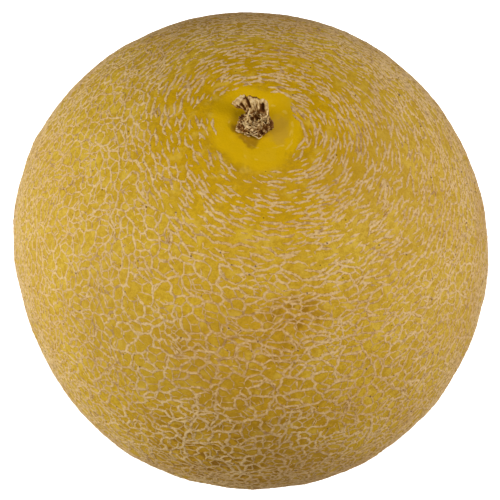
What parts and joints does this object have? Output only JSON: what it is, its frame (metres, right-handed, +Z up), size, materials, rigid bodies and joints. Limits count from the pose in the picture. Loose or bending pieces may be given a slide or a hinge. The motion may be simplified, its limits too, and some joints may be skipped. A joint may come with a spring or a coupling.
{
  "type": "netted melon",
  "caption": "Whole round honeydew-family melon with a corky netted yellow rind and a short dried stem stub, standing on a small flat spot.",
  "frame": {"origin": "middle of the small flat spot that the melon stands on, straight under the stem", "axes": "+Z up from the flat spot along the core to the stem stub, -Y is the front, the side of the stub's low broken edge, and +X is the right"},
  "size_m": [0.1454, 0.1461, 0.148],
  "materials": {
    "rind": "satin",
    "dry_stem": "matte"
  },
  "bodies": {
    "root": {"fruit": "rind", "stem_stub": "dry_stem"}
  },
  "joints": []
}
